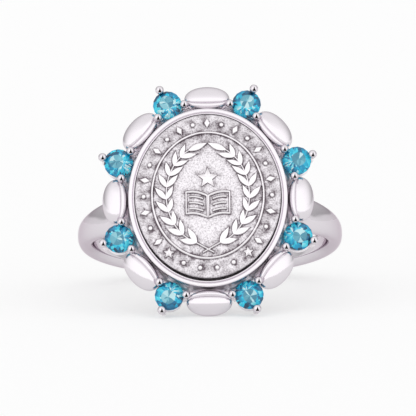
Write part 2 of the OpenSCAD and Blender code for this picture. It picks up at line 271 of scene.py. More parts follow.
# Bezel: an oval cup of silver, a wall on a flat floor, soldered on the shoulders. Its rim
# is turned to a broad rounded edge, a fine cut groove and a thin inner lip, and buffed; the
# wall below it is left as cast, where no wheel reaches.
bezel_w = 11.5
bezel_l = 13.26
bezel_wall = 0.44
floor_z = 9.75
rim_z = 12
taper = 0.35
taper_from = 10.7
lip_w = 0.1
lip_drop = 0.03
groove_w = 0.035
groove_depth = 0.1
rim_round = 0.08
rim_foot = 11.72
# The wall is tucked up into the rim, and its faces stand a little inside the rim's
rim_lap = 0.06
rim_over = 0.01
floor_sunk = 0.06
floor_inset = 0.1
oval_steps = 180


def arc(middle, size, start, stop, steps):
    """Points [out, up] of an arc, with angles in degrees and a size along each axis."""
    turns = [radians(start + (stop - start) * i / steps) for i in range(steps + 1)]
    return [(middle[0] + size[0] * cos(a), middle[1] + size[1] * sin(a)) for a in turns]


def profile(name, points, closed=False):
    """An outline of [out, up] points as a blank that a circle can carry round."""
    return blank(name, [(out, -up, 0) for out, up in points], closed=closed)


def join(name, *pieces):
    """Joins pieces into one, which keeps their materials and attributes."""
    with bpy.context.temp_override(
        active_object=pieces[0], object=pieces[0], selected_objects=pieces,
        selected_editable_objects=pieces,
    ):
        bpy.ops.object.join()
    pieces[0].name = name
    return pieces[0]


# Sterling silver as it comes from the tumbler, in corners that no wheel reaches: satin
# instead of a mirror, with the mould's grain of about 0.15 mm
unbuffed, shader, place = new_finish("tumbled_cast_silver")
grain = add(shader, "ShaderNodeTexNoise", {"Vector": place, "Scale": 1 / (0.15 * MM), "Detail": 3})
tone = add(shader, "ShaderNodeMix", {0: grain, 6: srgb("E0DADF"), 7: srgb("FAF6F9")}, data_type="RGBA")
rough = add(shader, "ShaderNodeBump", {"Height": grain, "Strength": 0.5, "Distance": 0.02 * MM})
skin = add(
    shader, "ShaderNodeBsdfPrincipled",
    {"Base Color": tone.outputs[2], "Metallic": 1.0, "Roughness": 0.3, "Normal": rough},
)
add(shader, "ShaderNodeOutputMaterial", {"Surface": skin})

carried_tree, given = new_tree(
    "profile_carried_round",
    path=("Vector", (1, 1, 1)), stretch=("Vector", (1, 1, 1)), steps=("Int", oval_steps),
)
ring = add(carried_tree, "GeometryNodeCurvePrimitiveCircle", {"Resolution": given["steps"], "Radius": 1.0})
oval = add(carried_tree, "GeometryNodeTransform", {"Geometry": ring, "Scale": given["path"]})
section = add(carried_tree, "GeometryNodeMeshToCurve", {"Mesh": given["Mesh"]})
swept = add(carried_tree, "GeometryNodeCurveToMesh", {"Curve": oval, "Profile Curve": section})
sized = add(carried_tree, "GeometryNodeTransform", {"Geometry": swept, "Scale": given["stretch"]})
end_tree(carried_tree, given, sized)

edge_r = (bezel_wall - lip_w - groove_w) / 2
lip_out = -bezel_wall + lip_w
wall_inside = -bezel_wall - taper - solder
rim = profile(
    "rim",
    arc((-edge_r, rim_z - rim_round), (edge_r, rim_round), 0, 165, 16)
    + [(lip_out + groove_w / 2, rim_z - groove_depth)]
    + arc((lip_out - lip_w / 2, rim_z - lip_drop - lip_w / 2), (lip_w / 2, lip_w / 2), 15, 180, 8)
    + [(-bezel_wall, rim_foot), (0, rim_foot)],
    closed=True,
)
bezel_halves = (bezel_w / 2, bezel_l / 2, 1)
grow(rim, carried_tree, path=bezel_halves, metal=polished)
wall = profile(
    "wall",
    [(wall_inside, floor_z), (-taper, floor_z)]
    + arc((-taper, taper_from), (taper, taper_from - floor_z), -75, 0, 8)
    + [(-rim_over, rim_foot + rim_lap), (rim_over - bezel_wall, rim_foot + rim_lap)]
    + [(-bezel_wall, seat_z - solder), (wall_inside, seat_z - 2 * solder)],
    closed=True,
)
grow(wall, carried_tree, path=bezel_halves, metal=unbuffed)
# The floor's outline is given as shares of the cup's half width and length. It is sunk a
# little inside the wall's foot, as a soldered sheet is.
floor_top = seat_z - solder / 2
floor_foot = floor_z + floor_sunk
cup_floor = profile(
    "cup_floor", [(-1, floor_foot), (-floor_inset, floor_foot), (-floor_inset, floor_top), (-1, floor_top)]
)
grow(cup_floor, carried_tree, stretch=bezel_halves, metal=unbuffed)
bezel = join("bezel", rim, wall, cup_floor)
seat(bezel, "mounting")


# Rail: a flat oval wire of silver, soldered to the baskets' bars and round the bezel's
# wall, where the solder has run into a fillet. It carries the petals on its top, and is
# left as cast.
rail_in = 0.14
rail_out = 0.66
rail_z = floor_z + 0.35
rail_h = 0.58
rail_r = 0.14
fillet_w = 0.42
fillet_h = 0.36
rail_top = rail_z + rail_h

rail = profile(
    "rail",
    arc((rail_out - rail_r, rail_top - rail_r), (rail_r, rail_r), 0, 90, 5)
    + arc((fillet_w, rail_top + fillet_h), (fillet_w, fillet_h), 270, 180, 8)
    + [(-rail_in, rail_top + fillet_h), (-rail_in, rail_z), (rail_out - rail_r, rail_z)],
    closed=True,
)
grow(rail, carried_tree, path=bezel_halves, metal=unbuffed)
seat(rail, "mounting")


# Petals: eight smooth pillows of solid silver, cast, filed and buffed, soldered down on the
# rail and leaning a little outwards. There is one at each side, end and corner of the head.
# A shallow groove, cut with a graver, runs along the inner side of each.
petal_z = floor_z + 1.18
petal_l = 3.3
petal_h = 1.24
petal_out = 0.9
petal_outer = 1.01
petal_inner = 0.86
petal_lean = radians(13)
petal_swell = 2.1
inner_swell = 2.7
crest_w = 0.58
groove_at = 0.42
groove_cut = 0.05
rib_h = 0.3
rib_top = 0.51
rib_start = 50
# The rib's section is this many times as wide as its own radius
rib_spread = 1.64
underside_end = 262
corner_petal = 44
petal_turns = [
    half_way + turn for half_way in (0, 180) for turn in (0, corner_petal, 90, 180 - corner_petal)
]
petal_steps = 56


def on_oval(w, l, turn, out=0):
    """A place on an oval's line, at a turn in degrees, moved straight out by out."""
    across, along = cos(radians(turn)) / w, sin(radians(turn)) / l
    move = out / hypot(across, along)
    return (cos(radians(turn)) * w / 2 + across * move, sin(radians(turn)) * l / 2 + along * move)


def faces_to(w, l, turn):
    """The way that an oval's line faces there, in radians."""
    return atan2(sin(radians(turn)) / l, cos(radians(turn)) / w)


def standing(name, rings, metal):
    """A closed form from rings of points, from its foot up to its top."""
    sides = len(rings[0])
    faces = [
        (row + i, row + (i + 1) % sides, row + sides + (i + 1) % sides, row + sides + i)
        for row in range(0, (len(rings) - 1) * sides, sides)
        for i in range(sides)
    ]
    faces += [tuple(range(sides))[::-1], tuple((len(rings) - 1) * sides + i for i in range(sides))]
    form = blank(name, [p for ring in rings for p in ring], edges=[], faces=faces)
    form.data.materials.append(metal)
    return form


def petal_profile():
    """A petal's middle section, as [out, up] points from its foot round its outer side."""
    half = petal_h / 2
    over = [groove_at * i / 10 for i in range(1, 11)]
    crest = [(-x, half * (1 - (x / crest_w) ** inner_swell) ** (1 / inner_swell)) for x in over]
    rib_w = (petal_inner - groove_at - groove_cut / 2) / rib_spread
    groove = (-groove_at - groove_cut / 2, crest[-1][1] - groove_cut)
    rib = arc((rib_w - petal_inner, rib_top - rib_h), (rib_w, rib_h), rib_start, 180, 10)
    under_size = (petal_inner, 2 * half - petal_inner)
    under = arc((0, half - petal_inner), under_size, 180, underside_end, 8)
    return arc((0, 0), (petal_outer, half), -90, 90, 36) + crest + [groove] + rib + under


def petal_share(along):
    """The share of its middle section that a petal has at a share of its half length."""
    return (1 - abs(along) ** petal_swell) ** (1 / petal_swell)


set_tree, given = new_tree("pieces_set_at_places", piece=("Object", None))
made = add(set_tree, "GeometryNodeObjectInfo", {"Object": given["piece"]})
turned = add(set_tree, "GeometryNodeInputNamedAttribute", {"Name": "turn"}, data_type="FLOAT")
sized = add(set_tree, "GeometryNodeInputNamedAttribute", {"Name": "size"}, data_type="FLOAT")
faced = add(set_tree, "FunctionNodeAxisAngleToRotation", {"Axis": (0, 0, 1), "Angle": turned})
copies = add(
    set_tree, "GeometryNodeInstanceOnPoints",
    {
        "Points": given["Mesh"], "Instance": made.outputs["Geometry"], "Rotation": faced,
        "Scale": sized,
    },
)
real = add(set_tree, "GeometryNodeRealizeInstances", {0: copies})
end_tree(set_tree, given, real)


def set_round(name, piece, places, metal):
    """Sets copies of a piece at places, each a point, a turn in radians and a size."""
    copies = blank(name, [tuple(point) for point, turn, size in places], edges=[])
    for kind, row in (("turn", 1), ("size", 2)):
        values = copies.data.attributes.new(kind, "FLOAT", "POINT")
        values.data.foreach_set("value", [place[row] for place in places])
    grow(copies, set_tree, piece=piece, metal=metal)
    bpy.data.objects.remove(piece)
    return copies


def round_head(turns, z, out):
    """Places round the head, out from the bezel's edge and facing out."""
    return [
        ((*on_oval(bezel_w, bezel_l, turn, out), z), faces_to(bezel_w, bezel_l, turn), 1.0)
        for turn in turns
    ]


section = petal_profile()
stations = [sin(pi * (i / petal_steps - 0.5)) for i in range(1, petal_steps)]
pillow = standing(
    "pillow",
    [[(x * petal_share(v), v * petal_l / 2, z * petal_share(v)) for x, z in section] for v in stations],
    polished,
)
pillow.data.transform(Matrix.Rotation(petal_lean, 4, "Y"))
petal_places = round_head(petal_turns, petal_z, petal_out)
petals = set_round("petals", pillow, petal_places, polished)
seat(petals, "mounting")


# Baskets: under each stone a silver ring with a bar to the bezel, and three prong wires
# whose ends are melted and burred into round beads that hold the stone's edge.
stone_d = 2.1
stone_gap = 0.12
halo_out = stone_d / 2 + stone_gap
side_stone = 21.5
end_stone = 66
stone_turns = [
    half_way + turn
    for half_way in (0, 180)
    for turn in (side_stone, end_stone, 180 - end_stone, 180 - side_stone)
]
girdle_z = floor_z + 1.4
tip_z = girdle_z + 0.32
tip_r = stone_d / 2 + 0.16
tip_d = 0.62
wire_d = 0.48
ring_z = floor_z + 0.2
foot_z = ring_z + wire_d / 4
prong_splay = 0.16
inner_turn = radians(118)
ring_h = 0.38
ring_w = 0.36
ring_r = stone_d / 2 - 0.1
ring_corner = 0.09
ring_steps = 48
corner_steps = 4
bar_w = 0.5
bar_r = 0.1
bead_steps = 28
nick_w = 0.24
nick_l = 0.32
nick_down = radians(20)
nick_aside = radians(6)
# A nick's rings from its foot to its top: share of its outline, and height over the bead
nick_rings = [(0.4, -0.1), (1, -0.04), (1, -0.002), (0.6, 0.012)]

# A prong's wire is turned about its own line, with a round foot. Its profile is carried round
# a circle of radius 1, so it lies 1 further in.
prong_l = hypot(tip_z - foot_z, prong_splay)
wire_r = wire_d / 2
wire = profile("wire", [(r - 1, h) for r, h in arc((0, 0), (wire_r, wire_r), -90, 0, 8) + [(0, prong_l)]])
grow(wire, carried_tree, steps=bead_steps, metal=unbuffed)
prong_foot = Matrix.Translation((tip_r - prong_splay, 0, foot_z))
wire.data.transform(prong_foot @ Matrix.Rotation(atan2(prong_splay, tip_z - foot_z), 4, "Y"))
stone_places = round_head(stone_turns, 0, halo_out)
prong_places = [
    (point, turn + inner, size)
    for point, turn, size in stone_places
    for inner in (0, inner_turn, -inner_turn)
]
prongs = set_round("prongs", wire, prong_places, unbuffed)

# Painted shade: a black plug stands for the dark of the burr's small pit, grainy at 0.03 mm
black_pit_shade, shader, place = new_finish("painted_shade_in_burr_nicks")
grit = add(shader, "ShaderNodeTexNoise", {"Vector": place, "Scale": 1 / (0.03 * MM), "Detail": 1})
painted_pit_shade = add(shader, "ShaderNodeMix", {0: grit, 6: srgb("080607"), 7: srgb("1E1A1C")}, data_type="RGBA")
skin = add(
    shader, "ShaderNodeBsdfPrincipled",
    {"Base Color": painted_pit_shade.outputs[2], "Roughness": 0.8, "Specular IOR Level": 0.1},
)
add(shader, "ShaderNodeOutputMaterial", {"Surface": skin})

# A bead is turned too. The burr leaves a small three-sided nick in it, on the side that faces
# down the finger, as all beads are worked from there. A black plug set in the nick is painted shade for
# its pit.
bead_r = tip_d / 2
bead = profile("bead", [(r - 1, h) for r, h in arc((0, 0), (bead_r, bead_r), -90, 90, 26)])
grow(bead, carried_tree, steps=bead_steps, metal=polished)
nick_corners = [(0, nick_l * 0.6), (-nick_w / 2, -nick_l * 0.4), (nick_w / 2, -nick_l * 0.4)]
nick = standing(
    "nick",
    [[(x * share, y * share, bead_r + high) for x, y in nick_corners] for share, high in nick_rings],
    black_pit_shade,
)
nick.data.transform(Matrix.Rotation(nick_aside, 4, "Y") @ Matrix.Rotation(nick_down, 4, "X"))
bead_places = [
    ((x + tip_r * cos(turn), y + tip_r * sin(turn), tip_z), 0.0, size)
    for (x, y, z), turn, size in prong_places
]
beads = set_round("beads", bead, bead_places, polished)
# Black plugs in the beads: painted shade for the burr's pits
nicks = set_round("nicks", nick, bead_places, black_pit_shade)


def box_outline(left, right, low, high, r):
    """A rectangle's outline with round corners."""
    corners = [
        (right - r, high - r, 0), (left + r, high - r, 90), (left + r, low + r, 180),
        (right - r, low + r, 270),
    ]
    return [p for x, y, a in corners for p in arc((x, y), (r, r), a, a + 90, corner_steps)]


ring_outline = box_outline(ring_r - ring_w, ring_r, ring_z, ring_z + ring_h, ring_corner)
basket_ring = profile("basket_ring", [(out - 1, up) for out, up in ring_outline], closed=True)
grow(basket_ring, carried_tree, steps=ring_steps, metal=unbuffed)
bar_from = -halo_out - bezel_wall / 2
bar_to = ring_w / 2 - ring_r
form = bmesh.new()
bmesh.ops.create_cube(form, size=1)
bmesh.ops.scale(form, vec=(bar_to - bar_from, bar_w, ring_h), verts=form.verts)
bmesh.ops.translate(form, vec=((bar_to + bar_from) / 2, 0, ring_z + ring_h / 2), verts=form.verts)
bmesh.ops.bevel(form, geom=form.edges[:], offset=bar_r, segments=corner_steps, profile=0.5, affect="EDGES")
bar = blank("bar", [])
form.to_mesh(bar.data)
form.free()
bar.data.materials.append(unbuffed)
baskets = set_round("baskets", join("basket", basket_ring, bar), stone_places, unbuffed)
seat(join("baskets", baskets, prongs, beads, nicks), "mounting")


# Medallion: an oval plate cast in silver, domed on top, that drops into the bezel. It has
# a wreath, a star, an open book and a border in raised relief. The plate is dipped in a
# darkening bath, and its high places are then rubbed bright again; round the relief and low on its sides,
# painted shade is added to the patina.
cup_w = bezel_w - 2 * bezel_wall
cup_l = bezel_l - 2 * bezel_wall
med_w = cup_w - 0.07
med_l = cup_l - 0.22
med_shift = 0.06
plate_foot = seat_z + 0.03
edge_z = rim_z + 0.1
crown = 0.45
relief_h = 0.15
relief_foot = 0.12
plate_edge = 0.14
line_w = 0.19
# The border's width at the sides and ends, and how far from the cup's wall it starts
border_side = 1.2
border_end = 1.45
border_off = 0.08
loop_w = cup_w - 2 * border_off - 2 * border_side
loop_l = cup_l - 2 * border_off - 2 * border_end

# Cast silver, darkened by the bath and rubbed: nearly white on top, grey in the ground,
# and darkest round the feet of the relief, as patina where no rubbing reaches and as painted shade round
# the relief.
antique_and_shade, shader, place = new_finish("darkened_cast_silver")
dark = add(shader, "ShaderNodeAttribute", attribute_name="dark").outputs["Fac"]
# The mould's grain is about 0.1 mm
grain = add(shader, "ShaderNodeTexNoise", {"Vector": place, "Scale": 1 / (0.1 * MM), "Detail": 2})
spots = add(
    shader, "ShaderNodeMapRange",
    {"Value": grain, "From Min": 0.44, "From Max": 0.66, "To Min": 0.0, "To Max": 0.42},
)
left = add(shader, "ShaderNodeMath", {0: dark, 1: spots}, operation="ADD", use_clamp=True)
tone = add(shader, "ShaderNodeMix", {0: left, 6: srgb("E4E0E4"), 7: srgb("6B6067")}, data_type="RGBA")
dull = add(shader, "ShaderNodeMapRange", {"Value": left, "To Min": 0.32, "To Max": 0.6})
rough = add(shader, "ShaderNodeBump", {"Height": grain, "Strength": 1.0, "Distance": 0.035 * MM})
skin = add(
    shader, "ShaderNodeBsdfPrincipled",
    {
        "Base Color": tone.outputs[2], "Metallic": 1.0, "Roughness": dull, "Normal": rough,
    },
)
add(shader, "ShaderNodeOutputMaterial", {"Surface": skin})

# The relief: silver rubbed to a soft shine on its tops, and darker low on its sides, partly as
# patina from the bath and partly as painted shade on its rounded sides. The rubbing marks are drawn 0.08
# mm apart, coarser than real ones, to show.
rubbed, shader, place = new_finish("rubbed_relief_silver")
low = add(shader, "ShaderNodeAttribute", attribute_name="low").outputs["Fac"]
marks = add(shader, "ShaderNodeTexNoise", {"Vector": place, "Scale": 1 / (0.08 * MM), "Detail": 2})
gloss = add(
    shader, "ShaderNodeMapRange",
    {"Value": marks, "From Min": 0.35, "From Max": 0.7, "To Min": 0.18, "To Max": 0.32},
)
# Patina and painted shade low on the relief's sides
tone = add(shader, "ShaderNodeMix", {0: low, 6: srgb("EEEAED"), 7: srgb("6A6066")}, data_type="RGBA")
skin = add(
    shader, "ShaderNodeBsdfPrincipled",
    {"Base Color": tone.outputs[2], "Metallic": 1.0, "Roughness": gloss},
)
add(shader, "ShaderNodeOutputMaterial", {"Surface": skin})

# A raised line is an oval wire along its blank, half sunk in the ground
wire_tree, given = new_tree(
    "wire_along_a_line", wide=("Float", line_w), high=("Float", relief_h), sides=("Int", 12)
)
line = add(wire_tree, "GeometryNodeMeshToCurve", {"Mesh": given["Mesh"]})
half = add(wire_tree, "ShaderNodeMath", {0: given["wide"], 1: 0.5}, operation="MULTIPLY")
round_wire = add(
    wire_tree, "GeometryNodeCurvePrimitiveCircle", {"Resolution": given["sides"], "Radius": half}
)
flatter = add(wire_tree, "ShaderNodeMath", {0: given["high"], 1: half}, operation="DIVIDE")
size = add(wire_tree, "ShaderNodeCombineXYZ", {"X": 1.0, "Y": flatter, "Z": 1.0})
oval_wire = add(wire_tree, "GeometryNodeTransform", {"Geometry": round_wire, "Scale": size})
level = add(wire_tree, "GeometryNodeSetCurveNormal", {"Curve": line}, mode="Z_UP")
raised = add(
    wire_tree, "GeometryNodeCurveToMesh",
    {"Curve": level, "Profile Curve": oval_wire, "Fill Caps": True},
)
end_tree(wire_tree, given, raised)


def relief_form(name, rings):
    """A form of relief from its edge up to its top, with a wall down into the ground."""
    foot = [(x, y, -relief_foot) for x, y, z in rings[0]]
    return standing(name, [foot] + rings, rubbed)


def line_of_relief(name, points, wide, high=relief_h, closed=False):
    """A raised line through [across, along] points."""
    line = blank(name, [(x, y, 0) for x, y in points], closed=closed)
    return grow(line, wire_tree, wide=wide, high=high, metal=rubbed)


# Wreath: two crossed branches with pairs of pointed leaves, and one leaf at each tip
leaf_l = 1.36
leaf_w = 0.47
# A leaf is widest before its middle and runs out in a short point, and its ends are drawn
# in less than its sides
leaf_belly = 0.85
leaf_point = 6
leaf_draw = 0.12
leaf_steps = 12
# A leaf's round edge: how far in from its outline, as a share of its half width, and how
# high, as a share of the relief
leaf_edge = [(0, 0.4), (0.12, 0.74), (0.3, 0.92), (0.65, 1)]
# Each pair's place on the stem's oval, in degrees from the bottom, and then the splay in
# degrees and the share of the full length, of the outer leaf and of the inner one
leaf_pairs = [
    (16, 8, 1, 40, 1),
    (37, 20, 1, 36, 0.9),
    (53, 27, 1, 24, 0.85),
    (70, 32, 0.97, 30, 0.85),
    (85, 38, 0.95, 30, 0.85),
    (99, 37, 0.92, 35, 0.95),
    (112.5, 31, 0.85, 38, 0.95),
    (126, 23, 0.85, 40, 0.85),
    (139, 23, 0.82, 36, 0.95),
]
stem_w = 0.14
stem_h = relief_h * 0.8
stem_end = 153
stem_steps = 24
top_leaf_turn = -10
top_leaf_share = 1.12
wreath_side = 1.03
wreath_end = 0.96
wreath_w = loop_w - 2 * wreath_side
wreath_l = loop_l - 2 * wreath_end
stem_foot = (0.42, -wreath_l / 2 - 0.56)


def leaf_half(u):
    """A leaf's half width at the share u of its length."""
    body = stem_w / 4 + (leaf_w / 2 - stem_w / 4) * sin(pi * u**leaf_belly)
    return body * (1 - u**leaf_point)


def leaf_ring(inset, high):
    """The leaf's outline, drawn in towards its midrib by a share."""
    steps = [i / leaf_steps for i in range(leaf_steps + 1)]
    side = [(leaf_half(u) * (1 - inset), leaf_l * (u + (0.5 - u) * inset * leaf_draw)) for u in steps]
    outline = side + [(-x, y) for x, y in side[-2:0:-1]] + [(-side[0][0], side[0][1])]
    return [(x, y, high * relief_h) for x, y in outline]


def stem_at(turn):
    """A place on the left branch's stem."""
    return (-sin(radians(turn)) * wreath_w / 2, -cos(radians(turn)) * wreath_l / 2)


def stem_turn(turn):
    """The way that the left stem grows there, in radians from +Y."""
    return atan2(-cos(radians(turn)) * wreath_w, -sin(radians(turn)) * wreath_l) + pi


leaf = relief_form("leaf", [leaf_ring(*edge) for edge in leaf_edge])
leaf_places = [((*stem_at(stem_end), 0), stem_turn(stem_end) + radians(top_leaf_turn), top_leaf_share)]
for turn, outer_splay, outer_share, inner_splay, inner_share in leaf_pairs:
    foot = (*stem_at(turn), 0)
    leaf_places.append((foot, stem_turn(turn) + radians(outer_splay), outer_share))
    leaf_places.append((foot, stem_turn(turn) - radians(inner_splay), inner_share))
leaf_places += [((-x, y, z), -turn, size) for (x, y, z), turn, size in leaf_places]
relief = [set_round("leaves", leaf, leaf_places, rubbed)]
stem_from = leaf_pairs[0][0]
stem_line = [stem_at(stem_from + (stem_end - stem_from) * i / stem_steps) for i in range(stem_steps + 1)]
for hand in (1, -1):
    branch = [(x * hand, y) for x, y in [stem_foot] + stem_line]
    relief.append(line_of_relief("stem", branch, stem_w, stem_h))

# Oval line: a raised round line between the border and the middle
loop = [on_oval(loop_w, loop_l, i * 2) for i in range(180)]
relief.append(line_of_relief("oval_line", loop, line_w, closed=True))

# Border: a star at each lower side, lozenges and dots by turns from star to star over the
# top, and four dots between the stars at the bottom
border_count = 22
star_turn = 38
low_dots = 4
lozenge_l = 0.8
lozenge_w = 0.42
# A lozenge's rings: share of its outline, and height as a share of the relief
lozenge_rings = [(1, 0.6), (0.72, 0.95), (0.1, 1.05)]
dot_d = 0.36
border_star_r = 0.42
star_notch = 0.42
# Heights of a star's points, notches and middle, as shares of the relief
point_h = 0.45
notch_h = 0.75
middle_h = 1.2
# A star's top is nearly a point
middle_share = 0.02
border_w = loop_w + border_side
border_l = loop_l + border_end


def at_border(turn):
    """A place in the middle of the border, facing out."""
    return ((*on_oval(border_w, border_l, turn), 0), faces_to(border_w, border_l, turn) - pi / 2, 1.0)


def star(name, r):
    """A five-pointed star whose faces meet in ridges, from its edge up to its middle."""
    corners = [(1, point_h), (star_notch, notch_h)] * 5
    edge = [
        (r * far * sin(i * pi / 5), r * far * cos(i * pi / 5), relief_h * high)
        for i, (far, high) in enumerate(corners)
    ]
    top = [(x * middle_share, y * middle_share, relief_h * middle_h) for x, y, z in edge]
    return relief_form(name, [edge, top])


lozenge_edge = [(lozenge_w / 2, 0), (0, lozenge_l / 2), (-lozenge_w / 2, 0), (0, -lozenge_l / 2)]
lozenge = relief_form(
    "lozenge",
    [[(x * share, y * share, relief_h * high) for x, y in lozenge_edge] for share, high in lozenge_rings],
)
dot = relief_form(
    "dot",
    [
        [(out * cos(i * pi / 10), out * sin(i * pi / 10), up) for i in range(20)]
        for out, up in arc((0, 0), (dot_d / 2, relief_h), 0, 85, 6)
    ],
)
step = (360 - 2 * star_turn) / border_count
low_step = 2 * star_turn / (low_dots + 1)
over_top = [at_border(-90 + star_turn + k * step) for k in range(1, border_count)]
below = [at_border(-90 - star_turn + k * low_step) for k in range(1, low_dots + 1)]
star_places = [at_border(-90 - star_turn), at_border(-90 + star_turn)]
relief.append(set_round("lozenges", lozenge, over_top[::2], rubbed))
relief.append(set_round("dots", dot, over_top[1::2] + below, rubbed))
relief.append(set_round("border_stars", star("border_star", border_star_r), star_places, rubbed))

# Emblem: an open book in raised lines, with two pages that bow up from the spine, under a star
book_w = 3.35
book_l = 2.1
book_drop = 0.8
book_line = 0.21
page_l = book_l * 0.85
page_bow = 0.28
page_swell = 0.1
page_rows = 3
row_from = 0.2
row_to = 0.8
row_drop = 0.02
row_line = book_line * 0.8
row_h = relief_h * 0.9
page_steps = 10
star_r = 0.8
star_lift = 1.2


def page_top(u):
    """How far a page's upper edge lies above the book's middle, at a share of its width."""
    return book_l / 2 - page_bow * (1 - u) ** 2 + page_swell * sin(pi * u)


def page_line(start, stop, drop, hand):
    """A line across a page, drop below its upper edge."""
    shares = [start + (stop - start) * i / page_steps for i in range(page_steps + 1)]
    return [(hand * u * book_w / 2, page_top(u) - drop - book_drop) for u in shares]


inset = book_line / 2
spine = inset / book_w
fore_edge = 1 - 2 * inset / book_w
for hand in (1, -1):
    top = page_line(spine, fore_edge, inset, hand)
    low = page_line(fore_edge, spine, page_l - inset, hand)
    relief.append(line_of_relief("page", top + low, book_line, closed=True))
    for k in range(1, page_rows + 1):
        row = page_line(row_from, row_to, page_l * k / (page_rows + 1) + row_drop, hand)
        relief.append(line_of_relief("page_row", row, row_line, row_h))
emblem_star = star("emblem_star", star_r)
emblem_star.data.transform(Matrix.Translation((0, star_lift, 0)))
relief.append(emblem_star)

# Everything of the relief is laid on the dome: raised by the dome's height where it is
dome_tree, given = new_tree(
    "laid_on_the_dome",
    half_w=("Float", med_w / 2), half_l=("Float", med_l / 2), edge=("Float", edge_z),
    crown=("Float", crown), high=("Float", relief_h),
)
spot = add(dome_tree, "ShaderNodeSeparateXYZ", {0: add(dome_tree, "GeometryNodeInputPosition")})
across = add(dome_tree, "ShaderNodeMath", {0: spot.outputs["X"], 1: given["half_w"]}, operation="DIVIDE")
along = add(dome_tree, "ShaderNodeMath", {0: spot.outputs["Y"], 1: given["half_l"]}, operation="DIVIDE")
part = add(dome_tree, "ShaderNodeCombineXYZ", {"X": across, "Y": along})
far = add(dome_tree, "ShaderNodeVectorMath", {0: part, 1: part}, operation="DOT_PRODUCT")
fall = add(dome_tree, "ShaderNodeMath", {0: 1.0, 1: far.outputs["Value"]}, operation="SUBTRACT")
rise = add(
    dome_tree, "ShaderNodeMath", {0: fall, 1: given["crown"], 2: given["edge"]},
    operation="MULTIPLY_ADD",
)
lift = add(dome_tree, "ShaderNodeCombineXYZ", {"Z": rise})
# How low a point lies, from 1 at the ground to 0 on a rubbed top, is kept for the material, which darkens
# low places with patina and painted shade
level = add(dome_tree, "ShaderNodeMath", {0: spot.outputs["Z"], 1: given["high"]}, operation="DIVIDE")
low = add(dome_tree, "ShaderNodeMapRange", {0: level, 1: 0.2, 2: 0.75, 3: 0.8, 4: 0.0})
marked = add(
    dome_tree, "GeometryNodeStoreNamedAttribute",
    {"Geometry": given["Mesh"], "Name": "low", "Value": low}, data_type="FLOAT", domain="POINT",
)
laid = add(dome_tree, "GeometryNodeSetPosition", {"Geometry": marked, "Offset": lift})
end_tree(dome_tree, given, laid)
relief = join("medallion_relief", *relief)
grow(relief, dome_tree, metal=rubbed)

# The plate is swept in shares of its half width and length, laid on the same dome, and
# its ground is roughened and darkened near the relief
ground_tree, given = new_tree(
    "cast_ground",
    relief=("Object", None), foot=("Float", 0.07), near=("Float", 0.4), patch=("Float", 0.55),
    grain=("Float", 0.13), depth=("Float", 0.03),
    border_w=("Float", loop_w / 2), border_l=("Float", loop_l / 2),
)
raised = add(ground_tree, "GeometryNodeObjectInfo", {"Object": given["relief"]})
gap = add(ground_tree, "GeometryNodeProximity", {"Geometry": raised.outputs["Geometry"]})
place = add(ground_tree, "GeometryNodeInputPosition")
spot = add(ground_tree, "ShaderNodeSeparateXYZ", {0: place})
across = add(
    ground_tree, "ShaderNodeMath", {0: spot.outputs["X"], 1: given["border_w"]}, operation="DIVIDE"
)
along = add(
    ground_tree, "ShaderNodeMath", {0: spot.outputs["Y"], 1: given["border_l"]}, operation="DIVIDE"
)
part = add(ground_tree, "ShaderNodeCombineXYZ", {"X": across, "Y": along})
far = add(ground_tree, "ShaderNodeVectorMath", {0: part}, operation="LENGTH").outputs["Value"]
# Darkness is thickest at a relief's foot, as patina in the corner and painted shade, thins out over the
# near distance as painted shade round the relief, and has rubbed off in patches; the border keeps more of
# it than the middle, but not its outermost edge, which is darkened on its own as painted shade
foot = add(
    ground_tree, "ShaderNodeMapRange",
    {0: gap.outputs["Distance"], 1: 0.0, 2: given["foot"], 3: 0.68, 4: 0.0},
    interpolation_type="SMOOTHSTEP",
)
shade = add(
    ground_tree, "ShaderNodeMapRange",
    {0: gap.outputs["Distance"], 1: 0.0, 2: given["near"], 3: 0.32, 4: 0.0},
)
border = add(ground_tree, "ShaderNodeMapRange", {0: far, 1: 0.6, 2: 1.0, 3: 0.0, 4: 0.2})
# The plate's outermost edge and side wall: painted shade of the gap to the bezel's lip
edge = add(ground_tree, "ShaderNodeMapRange", {0: far, 1: 1.3, 2: 1.36, 3: 0.0, 4: 0.25})
kept = add(ground_tree, "ShaderNodeMath", {0: shade, 1: border})
broad = add(ground_tree, "ShaderNodeMath", {0: 1.0, 1: given["patch"]}, operation="DIVIDE")
patches = add(ground_tree, "ShaderNodeTexNoise", {"Vector": place, "Scale": broad, "Detail": 3.0})
patch = add(ground_tree, "ShaderNodeMapRange", {0: patches, 1: 0.38, 2: 0.62, 3: 0.15, 4: 1.6})
kept = add(ground_tree, "ShaderNodeMath", {0: kept, 1: patch}, operation="MULTIPLY")
# Patina, rubbed patches and painted shade round the relief, added together
soil_and_shade = add(ground_tree, "ShaderNodeMath", {0: kept, 1: foot})
darkness = add(ground_tree, "ShaderNodeMath", {0: soil_and_shade, 1: edge}, use_clamp=True)
fine = add(ground_tree, "ShaderNodeMath", {0: 1.0, 1: given["grain"]}, operation="DIVIDE")
grain = add(ground_tree, "ShaderNodeTexNoise", {"Vector": place, "Scale": fine, "Detail": 2.0})
even = add(ground_tree, "ShaderNodeMath", {0: grain, 1: 0.5}, operation="SUBTRACT")
rise = add(ground_tree, "ShaderNodeMath", {0: even, 1: given["depth"]}, operation="MULTIPLY")
lift = add(ground_tree, "ShaderNodeCombineXYZ", {"Z": rise})
rough = add(ground_tree, "GeometryNodeSetPosition", {"Geometry": given["Mesh"], "Offset": lift})
stained = add(
    ground_tree, "GeometryNodeStoreNamedAttribute",
    {"Geometry": rough, "Name": "dark", "Value": darkness},
    data_type="FLOAT", domain="POINT",
)
end_tree(ground_tree, given, stained)

ground_rings = 96
ground_steps = 400
